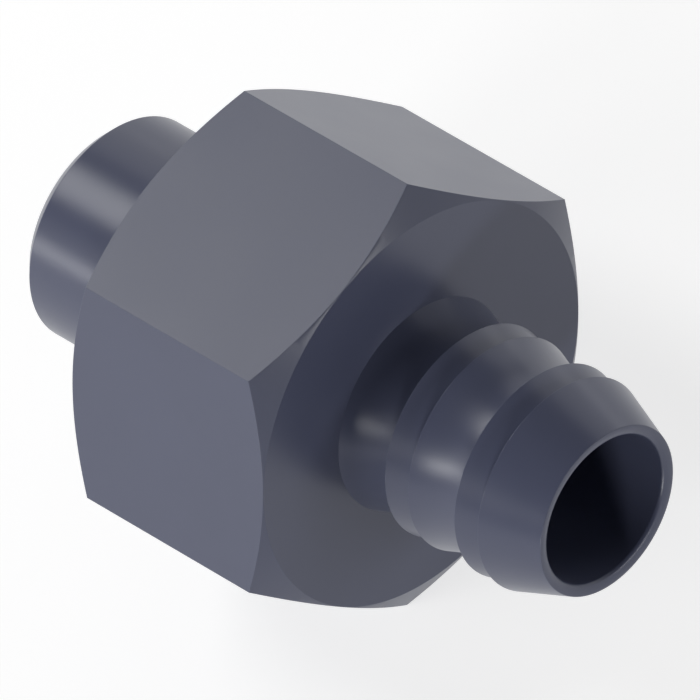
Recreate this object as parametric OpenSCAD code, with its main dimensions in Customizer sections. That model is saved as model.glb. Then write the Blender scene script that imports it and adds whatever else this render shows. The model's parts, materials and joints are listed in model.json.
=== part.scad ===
// Pipe adapter moulded in one piece: a plain spigot for a solvent-cement socket,
// a hexagon to hold it by and a barbed tail for a hose, with one straight bore through all.
// The bore's axis is X. The spigot points to -X, the hose tail to +X, and the part lies
// on one flat of its hexagon. The origin is on the axis, where the tail leaves the hexagon.

/* [Spigot] */
// Outside diameter of the spigot
spigot_d = 20; // [18:0.1:24]
// Length of the spigot from the hexagon to its end
spigot_len = 14.4; // [8:0.1:30]
// Size of the 45 degree lead-in at the spigot's end
spigot_lead = 1.15; // [0.3:0.05:1.3]

/* [Hexagon] */
// Width of the hexagon across its flats
hex_af = 36.3; // [32:0.1:46]
// Length of the hexagon along the axis
hex_len = 22; // [12:0.5:40]
// Slope of the corner chamfers, from the hexagon's end faces
hex_chamfer_angle = 30; // [15:1:40]

/* [Hose tail] */
// Diameter over the barbs
barb_d = 19.1; // [18.6:0.1:24]
// Length of a full barb
barb_len = 5.28; // [3:0.01:6]
// Length of the cut-off barb between two full ones
short_barb_len = 2.64; // [1:0.01:4]
// Taper of every barb, from the axis
barb_taper = 20; // [10:0.5:21]
// Number of full barbs along the tail
barb_count = 3; // [1:1:5]

/* [Bore] */
// Diameter of the bore
bore_d = 13.3; // [8:0.1:13.8]
// Depth of the eased edge at each end of the bore
lip_depth = 0.22; // [0.1:0.01:0.4]
// Width of the eased edge at each end of the bore
lip_width = 0.5; // [0.1:0.01:0.5]

/* [Hidden] */
$fn = 96;
plastic = [0.42, 0.43, 0.48];

hex_corner_d = hex_af / cos(30);
hex_corner_drop = (hex_corner_d - hex_af) / 2 * tan(hex_chamfer_angle);
tail_len = barb_count * barb_len + (barb_count - 1) * short_barb_len;
spigot_end = -hex_len - spigot_len;

// Full and short barbs take turns along the tail, and a full one comes first and last
function barb_length(i) = i % 2 == 0 ? barb_len : short_barb_len;
function barb_start(i) = i == 0 ? 0 : barb_start(i - 1) + barb_length(i - 1);

// Outlines are [place on the axis, radius] points. A barb is widest at its back, where
// it bites into the hose, and narrows towards the mouth.
barb_outline = [
    for (i = [0 : 2 * barb_count - 2], along = [0, barb_length(i)])
        [barb_start(i) + along, barb_d / 2 - along * tan(barb_taper)]
];
// The spigot and the tail meet in the middle of the hexagon
spigot_outline = [
    [spigot_end, spigot_d / 2 - spigot_lead],
    [spigot_end + spigot_lead, spigot_d / 2],
    [-hex_len / 2, spigot_d / 2],
    [-hex_len / 2, barb_d / 2]
];

// Solid of one outline turned about X
module turned(outline) {
    rotate([0, 90, 0]) rotate_extrude()
        polygon([for (p = outline) [p[1], p[0]]]);
}

// Spigot and hose tail, turned as one outline that runs on through the hexagon
module spigot_and_tail() {
    turned(concat([[spigot_end, 0]], spigot_outline, barb_outline, [[tail_len, 0]]));
}

// Hexagon whose corners are turned down at both ends
module hexagon() {
    intersection() {
        rotate([0, -90, 0]) rotate([0, 0, 30])
            cylinder(h = hex_len, d = hex_corner_d, $fn = 6);
        turned([
            [-hex_len, 0],
            [-hex_len, hex_af / 2],
            [hex_corner_drop - hex_len, hex_corner_d / 2],
            [-hex_corner_drop, hex_corner_d / 2],
            [0, hex_af / 2],
            [0, 0]
        ]);
    }
}

// Straight bore, open at both ends, where its edge is eased
module bore() {
    bore_r = bore_d / 2;
    past_end = lip_depth;
    mouth_r = bore_r + 2 * lip_width;
    turned([
        [spigot_end - past_end, 0],
        [spigot_end - past_end, mouth_r],
        [spigot_end + lip_depth, bore_r],
        [tail_len - lip_depth, bore_r],
        [tail_len + past_end, mouth_r],
        [tail_len + past_end, 0]
    ]);
}

module adapter_body() {
    color(plastic) difference() {
        union() {
            spigot_and_tail();
            hexagon();
        }
        bore();
    }
}

adapter_body();
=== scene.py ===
import json
from math import cos, pi, radians, sin, tan

import bmesh
import bpy
from mathutils import Matrix, Vector


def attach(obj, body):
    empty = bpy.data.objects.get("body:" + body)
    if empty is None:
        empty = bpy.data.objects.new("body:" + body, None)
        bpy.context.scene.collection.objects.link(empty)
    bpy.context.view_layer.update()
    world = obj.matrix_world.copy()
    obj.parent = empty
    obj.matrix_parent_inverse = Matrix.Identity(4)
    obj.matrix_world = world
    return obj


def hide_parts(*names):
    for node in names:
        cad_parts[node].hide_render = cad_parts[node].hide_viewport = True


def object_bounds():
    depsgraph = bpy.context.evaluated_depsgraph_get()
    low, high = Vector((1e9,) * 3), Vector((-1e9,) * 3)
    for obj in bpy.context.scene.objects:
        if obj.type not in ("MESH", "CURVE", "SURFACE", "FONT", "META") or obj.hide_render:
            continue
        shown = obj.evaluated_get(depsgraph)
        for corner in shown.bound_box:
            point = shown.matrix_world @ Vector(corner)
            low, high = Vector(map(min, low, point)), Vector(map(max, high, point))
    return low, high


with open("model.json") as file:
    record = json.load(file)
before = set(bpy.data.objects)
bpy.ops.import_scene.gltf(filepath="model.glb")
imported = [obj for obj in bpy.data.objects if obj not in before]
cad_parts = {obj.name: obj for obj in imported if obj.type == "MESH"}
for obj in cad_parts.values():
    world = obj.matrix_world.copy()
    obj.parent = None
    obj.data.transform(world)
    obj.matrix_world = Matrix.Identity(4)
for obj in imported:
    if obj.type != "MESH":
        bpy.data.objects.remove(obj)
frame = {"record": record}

mm = 0.001
samePlace = 0.001 * mm    # points nearer to each other than this are one
cadLow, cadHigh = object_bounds()
mounts = {m["name"]: m for m in frame["record"]["mounts"]}
bpy.ops.object.select_all(action="DESELECT")
print("frame loaded, from", tuple(cadLow), "to", tuple(cadHigh))


# one object in edit mode with nothing selected, and out again
def startEditing(obj):
    bpy.ops.object.select_all(action="DESELECT")
    bpy.context.view_layer.objects.active = obj
    obj.select_set(True)
    bpy.ops.object.mode_set(mode="EDIT")
    bpy.ops.mesh.select_mode(type="VERT")
    bpy.ops.mesh.select_all(action="DESELECT")


def stopEditing():
    bpy.ops.object.mode_set(mode="OBJECT")


# selects what passes a test among the vertices or edges of the mesh being edited
def pick(obj, kind, test):
    bpy.ops.mesh.select_mode(type=kind)
    bpy.ops.mesh.select_all(action="DESELECT")
    mesh = bmesh.from_edit_mesh(obj.data)
    parts = mesh.verts if kind == "VERT" else mesh.edges
    found = [p for p in parts if test(p)]
    for p in found:
        p.select = True
    mesh.select_flush_mode()
    bmesh.update_edit_mesh(obj.data)
    return len(found)


def applyModifier(obj, kind, **settings):
    modifier = obj.modifiers.new(kind.lower(), kind)
    for key, value in settings.items():
        setattr(modifier, key, value)
    bpy.context.view_layer.objects.active = obj
    bpy.ops.object.modifier_apply(modifier=modifier.name)


# the adapter's turned shape and its hexagon; its length, its bore, the spigot's radius and the
# hexagon's width come from the frame
adapter = {
    "barbRadius": 9.55 * mm,
    "barbLength": 5.28 * mm,
    "shortBarbLength": 2.64 * mm,
    "barbTaper": radians(20),
    "fullBarbs": 3,
    "grooveFoot": 0.08 * mm,       # upturned foot of a full barb's ramp
    "leadIn": 1.15 * mm,           # chamfer on the spigot's end
    "lipDepth": 0.22 * mm,         # eased edge where the bore opens
    "lipWidth": 0.5 * mm,
    "hexSides": 6,
    "cornerSlope": radians(30),    # turned-down corners of the hexagon
    "faceInset": 0.06 * mm,        # the end face stops this short of the flats
    "turningAllowance": 1 * mm,    # turned this far past the corners, then milled off
    "turnedSteps": 240,
    "softening": {                 # size and segments, by the kind of corner
        "edge": (0.05 * mm, 3),
        "face": (0.02 * mm, 3),
        "lip": (0.24 * mm, 4),
    },
    "flatSoftening": (0.025 * mm, 3),
    "flatEdge": radians(25),       # edges of the flats that bend more than this are softened
    "sharpEdge": radians(40),      # and what still bends more than this is shaded as sharp
    "rampWeight": 80,              # how much the larger faces lead in the shading
}


# corners of the adapter's half section, as (place on the axis, radius, kind of softening)
def sectionCorners(a):
    spigotEnd, tailEnd = cadLow.x, cadHigh.x
    hexBack, hexFront = mounts["socket_stop"]["pos_m"][0], mounts["hose_stop"]["pos_m"][0]
    spigotRadius = mounts["spigot"]["dims"]["r_mm"] * mm
    boreRadius = mounts["flow_bore"]["dims"]["r_mm"] * mm
    faceRadius = cadHigh.z - a["faceInset"]
    rimRadius = cadHigh.z / cos(pi / a["hexSides"]) + a["turningAllowance"]
    rimDrop = (rimRadius - faceRadius) * tan(a["cornerSlope"])
    corners = [
        (spigotEnd, boreRadius + a["lipWidth"], "lip"),
        (spigotEnd, spigotRadius - a["leadIn"], "edge"),
        (spigotEnd + a["leadIn"], spigotRadius, "edge"),
        (hexBack, spigotRadius, None),
        (hexBack, faceRadius, "face"),
        (hexBack + rimDrop, rimRadius, None),
        (hexFront - rimDrop, rimRadius, None),
        (hexFront, faceRadius, "face"),
        (hexFront, a["barbRadius"], None),
    ]
    start = hexFront
    slope, foot = tan(a["barbTaper"]), a["grooveFoot"]
    for i in range(a["fullBarbs"]):
        start += a["barbLength"]
        if i < a["fullBarbs"] - 1:
            lowest = a["barbRadius"] - (a["barbLength"] - foot) * slope
            corners += [
                (start - foot, lowest, None),
                (start, lowest + foot * slope, None),
                (start, a["barbRadius"], "edge"),
            ]
            start += a["shortBarbLength"]
            corners += [
                (start, a["barbRadius"] - a["shortBarbLength"] * slope, "edge"),
                (start, a["barbRadius"], "edge"),
            ]
    corners.append((tailEnd, a["barbRadius"] - a["barbLength"] * slope, "edge"))
    corners += [
        (tailEnd, boreRadius + a["lipWidth"], "lip"),
        (tailEnd - a["lipDepth"], boreRadius, "lip"),
        (spigotEnd + a["lipDepth"], boreRadius, "lip"),
    ]
    return corners


# one vertex pulled from corner to corner, then closed
def drawSection(name, corners):
    x, r, _ = corners[0]
    bpy.ops.mesh.primitive_plane_add(size=1 * mm, location=(x, 0, r))
    obj = bpy.context.object
    obj.name = name
    bpy.ops.object.transform_apply(location=True, rotation=True, scale=True)
    startEditing(obj)
    bpy.ops.mesh.select_all(action="SELECT")
    bpy.ops.mesh.merge(type="CENTER")
    here = Vector((x, 0, r))
    for x, r, _ in corners[1:]:
        there = Vector((x, 0, r))
        bpy.ops.mesh.extrude_region_move(TRANSFORM_OT_translate={"value": there - here})
        here = there
    ends = [Vector((c[0], 0, c[1])) for c in (corners[0], corners[-1])]
    pick(obj, "VERT", lambda v: min((v.co - e).length for e in ends) < samePlace)
    bpy.ops.mesh.edge_face_add()
    return obj


def softenCorners(obj, corners, kind, size, segments):
    places = [Vector((c[0], 0, c[1])) for c in corners if c[2] == kind]
    count = pick(obj, "VERT", lambda v: min((v.co - p).length for p in places) < samePlace)
    bpy.ops.mesh.bevel(offset=size, segments=segments, affect="VERTICES", clamp_overlap=False)
    print("softened", count, kind, "corners by", round(size / mm, 3), "mm")


# the section goes round the axis, like a bar on a lathe
def turnSection(a):
    bpy.ops.mesh.select_all(action="SELECT")
    bpy.ops.mesh.spin(steps=a["turnedSteps"], angle=2 * pi, center=(0, 0, 0), axis=(1, 0, 0))
    bpy.ops.mesh.select_all(action="SELECT")
    bpy.ops.mesh.remove_doubles(threshold=samePlace)
    bpy.ops.mesh.normals_make_consistent(inside=False)


# one cut for each side of the hexagon, which stands with a flat at the bottom
def millFlats(a, flatDistance):
    for i in range(a["hexSides"]):
        angle = radians(180 / a["hexSides"] * (2 * i + 1))
        outward = Vector((0, cos(angle), sin(angle)))
        bpy.ops.mesh.select_all(action="SELECT")
        bpy.ops.mesh.bisect(plane_co=outward * flatDistance, plane_no=outward,
                            use_fill=True, clear_outer=True, threshold=samePlace / 10)


def softenFlats(obj, a, flatDistance):
    def onFlats(edge):
        if len(edge.link_faces) != 2 or edge.calc_face_angle() < a["flatEdge"]:
            return False
        return min(v.co.yz.length for v in edge.verts) > flatDistance - samePlace

    size, segments = a["flatSoftening"]
    print("flat edges", pick(obj, "EDGE", onFlats))
    bpy.ops.mesh.bevel(offset=size, segments=segments, affect="EDGES")


# sharp edges stay, but the ramps of the full barbs shade softly into their grooves
def shadeAdapter(obj, a, corners):
    bpy.ops.object.shade_smooth_by_angle(angle=a["sharpEdge"])
    feet = [(c[0], c[1]) for c in corners if c[2] is None and c[1] < a["barbRadius"]][::2]

    def rampFoot(vert):
        radius = vert.co.yz.length
        return min(abs(x - vert.co.x) + abs(r - radius) for x, r in feet) < samePlace

    obj.vertex_groups.new(name="rampFeet")
    startEditing(obj)
    print("ramp feet", pick(obj, "VERT", rampFoot))
    bpy.ops.object.vertex_group_assign()
    bpy.ops.mesh.select_mode(type="EDGE")
    bpy.ops.mesh.mark_sharp(clear=True)
    stopEditing()
    applyModifier(obj, "WEIGHTED_NORMAL", keep_sharp=True, weight=a["rampWeight"],
                  vertex_group="rampFeet", invert_vertex_group=True)
    obj.vertex_groups.clear()


def makeAdapter(a):
    corners = sectionCorners(a)
    obj = drawSection("adapterBody", corners)
    for kind, (size, segments) in a["softening"].items():
        softenCorners(obj, corners, kind, size, segments)
    turnSection(a)
    millFlats(a, cadHigh.z)
    softenFlats(obj, a, cadHigh.z)
    stopEditing()
    shadeAdapter(obj, a, corners)
    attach(obj, "root")
    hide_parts("adapter_body")
    return obj


body = makeAdapter(adapter)
print("adapter modelled,", len(body.data.polygons), "faces")


# wraps a node socket, so that shader maths reads as Python
class Value:
    def __init__(self, tree, socket):
        self.tree = tree
        self.socket = socket

    def maths(self, operation, other):
        node = self.tree.nodes.new("ShaderNodeMath")
        node.operation = operation
        return feed(self.tree, node, {0: self, 1: other})

    def __add__(self, other):
        return self.maths("ADD", other)

    def __sub__(self, other):
        return self.maths("SUBTRACT", other)

    def __mul__(self, other):
        return self.maths("MULTIPLY", other)

    def __radd__(self, other):
        return self.maths("ADD", other)

    def __rmul__(self, other):
        return self.maths("MULTIPLY", other)

    def __rsub__(self, other):
        return (self * -1) + other


def feed(tree, node, inputs, output=0):
    for key, value in inputs.items():
        if isinstance(value, Value):
            tree.links.new(value.socket, node.inputs[key])
        else:
            node.inputs[key].default_value = value
    return Value(tree, node.outputs[output]) if len(node.outputs) else None


class Shader:
    def __init__(self, owner):
        self.owner = owner          # a material or a world
        owner.use_nodes = True
        self.tree = owner.node_tree
        self.tree.nodes.clear()

    # any node: its type, its settings, then the values or links of its sockets
    def add(self, kind, settings, inputs, output=0):
        node = self.tree.nodes.new("ShaderNode" + kind)
        for key, value in settings.items():
            setattr(node, key, value)
        return feed(self.tree, node, inputs, output)

    def finish(self, surface, kind="OutputMaterial"):
        self.add(kind, {}, {"Surface": surface})
        return self.owner


# rigid PVC as it leaves the mould: satin, with a faint uneven tone and a very fine grain
greyPvc = {
    "colour": (0.0955, 0.1065, 0.1714, 1),
    "paleColour": (0.1074, 0.1192, 0.1897, 1),
    "roughness": 0.30,
    "lightBending": 1.5,
    "mottleSize": 9 * mm,
    "mottleDetail": 3,
    "mottleTone": 1.1,       # how far tone and gloss follow the mottle
    "mottleGloss": 0.08,
    "grainSize": 0.35 * mm,
    "grainDetail": 2,
    "grainDepth": 0.004 * mm,
    "grainRelief": 0.5,
}


def makeGreyPvc(p):
    s = Shader(bpy.data.materials.new("greyPvc"))
    place = s.add("TexCoord", {}, {}, "Object")
    mottle = s.add("TexNoise", {}, {
        "Vector": place, "Scale": 1 / p["mottleSize"], "Detail": p["mottleDetail"],
    })
    grain = s.add("TexNoise", {}, {
        "Vector": place, "Scale": 1 / p["grainSize"], "Detail": p["grainDetail"],
    })
    mottle = mottle - 0.5     # now as far above nothing as below it
    tone = 0.5 + mottle * p["mottleTone"]
    colour = s.add("Mix", {"data_type": "RGBA"},
                   {"Factor": tone, 6: p["colour"], 7: p["paleColour"]}, 2)
    roughness = p["roughness"] + mottle * p["mottleGloss"]
    normal = s.add("Bump", {}, {
        "Height": grain, "Strength": p["grainRelief"], "Distance": p["grainDepth"],
    })
    surface = s.add("BsdfPrincipled", {}, {
        "Base Color": colour, "Roughness": roughness, "Normal": normal,
        "IOR": p["lightBending"],
    })
    return s.finish(surface)


body.data.materials.clear()
body.data.materials.append(makeGreyPvc(greyPvc))
print("material made")


# where the floor and the far background show white: to the eye, and in what reflects them
def seenRays(s):
    seen = s.add("LightPath", {}, {}, "Is Camera Ray")
    seen = seen + s.add("LightPath", {}, {}, "Is Glossy Ray")
    return seen + s.add("LightPath", {}, {}, "Is Transmission Ray")


floorLook = {
    "size": 4,           # metres
    "colour": (0.45, 0.45, 0.45, 1),
    "whiteness": 0.73,   # what seenRays add to the light of the lamps
}


def makeFloor(f):
    bpy.ops.object.select_all(action="DESELECT")
    bpy.ops.mesh.primitive_plane_add(size=f["size"], location=(0, 0, cadLow.z))
    floor = bpy.context.object
    floor.name = "floor"
    s = Shader(bpy.data.materials.new("paleFloor"))
    matt = s.add("BsdfDiffuse", {}, {"Color": f["colour"]})
    glow = s.add("Emission", {}, {"Strength": seenRays(s) * f["whiteness"]})
    floor.data.materials.append(s.finish(s.add("AddShader", {}, {0: matt, 1: glow})))


makeFloor(floorLook)

# softboxes stand round the adapter, all as far from its middle, and face it; sizes in metres
lampDistance = 0.6
lampTarget = Vector(((cadLow.x + cadHigh.x) / 2, 0, 0))
softboxes = {
    "frontLow": {"toward": (0.5, -0.86, 0.05), "width": 0.15, "height": 0.09, "watts": 0.8},
    "left": {"toward": (-0.24, -0.84, 0.48), "width": 0.2, "height": 0.13, "watts": 0.72},
    "leftBack": {"toward": (-0.58, -0.75, 0.31), "width": 0.13, "watts": 0.35},
    "leftHigh": {"toward": (-0.42, -0.66, 0.62), "width": 0.26, "watts": 0.2},
    "back": {"toward": (-0.57, 0, 0.82), "width": 0.3, "watts": 1.15},
    "mouth": {"toward": (0.97, 0.2, 0.1), "width": 0.3, "height": 0.1, "watts": 0.57},
    "right": {"toward": (0.1, 0.95, 0.28), "width": 0.5, "watts": 0.6},
    "backRight": {"toward": (-0.6, 0.7, 0.4), "width": 0.4, "watts": 0.43},
}


def addSoftbox(name, lamp):
    toward = Vector(lamp["toward"]).normalized()
    bpy.ops.object.light_add(type="AREA", location=lampTarget + toward * lampDistance)
    light = bpy.context.object
    light.name = name
    light.rotation_euler = toward.to_track_quat("Z", "Y").to_euler()
    light.data.shape = "RECTANGLE" if "height" in lamp else "DISK"
    light.data.size = lamp["width"]
    light.data.size_y = lamp.get("height", lamp["width"])
    light.data.energy = lamp["watts"]
    light.visible_camera = False


for name, lamp in softboxes.items():
    addSoftbox(name, lamp)

# past the floor the background is white up to a few degrees, and above that the room is dim
backdrop = {"roomLight": 0.02, "whiteUpTo": 0.08, "dimFrom": 0.2}


def makeWorld(b):
    world = bpy.context.scene.world or bpy.data.worlds.new("studio")
    bpy.context.scene.world = world
    s = Shader(world)
    direction = s.add("TexCoord", {}, {}, "Generated")
    height = s.add("SeparateXYZ", {}, {0: direction}, "Z")
    white = s.add("MapRange", {}, {
        "Value": height, "From Min": b["whiteUpTo"], "From Max": b["dimFrom"],
        "To Min": 1.0, "To Max": 0.0,
    })
    light = seenRays(s) * white + b["roomLight"]
    background = s.add("Background", {}, {"Color": (1, 1, 1, 1), "Strength": light})
    s.finish(background, "OutputWorld")


makeWorld(backdrop)
print("floor, softboxes and background made")

# the photo looks along an isometric direction at an adapter with a corner of its hexagon on
# top; this one lies on a flat, so the view goes round the bore's axis with it
photoCamera = {
    "toward": Vector((1, -1, 1)),
    "up": Vector((-1, 1, 2)),
    "roll": radians(-30),
    "pictureSize": 700,             # the photo's width and height in pixels
    "pixelsPerMetre": 12.3 / mm,    # its scale at the adapter
    "originPixel": (421.5, 403.9),  # where the axis meets the hexagon's front face
    "lens": 1500,                   # so long that the view is almost parallel
    "clip": (0.1, 10),
}


def addCamera(c):
    turn = Matrix.Rotation(c["roll"], 3, "X")
    toward, up = turn @ c["toward"].normalized(), turn @ c["up"].normalized()
    right = up.cross(toward)
    middle = c["pictureSize"] / 2
    across = (middle - c["originPixel"][0]) / c["pixelsPerMetre"]
    upward = (c["originPixel"][1] - middle) / c["pixelsPerMetre"]
    target = right * across + up * upward
    target += toward * ((cadLow + cadHigh) / 2 - target).dot(toward)
    bpy.ops.object.camera_add()
    camera = bpy.context.object
    camera.data.lens = c["lens"]
    width = c["pictureSize"] / c["pixelsPerMetre"]
    distance = width * camera.data.lens / camera.data.sensor_width
    camera.matrix_world = Matrix.Translation(target + toward * distance) @ Matrix(
        (right, up, toward)).transposed().to_4x4()
    camera.data.clip_start, camera.data.clip_end = c["clip"]
    bpy.context.scene.camera = camera


addCamera(photoCamera)
bpy.context.scene.view_settings.view_transform = "Standard"

print("scene ready")
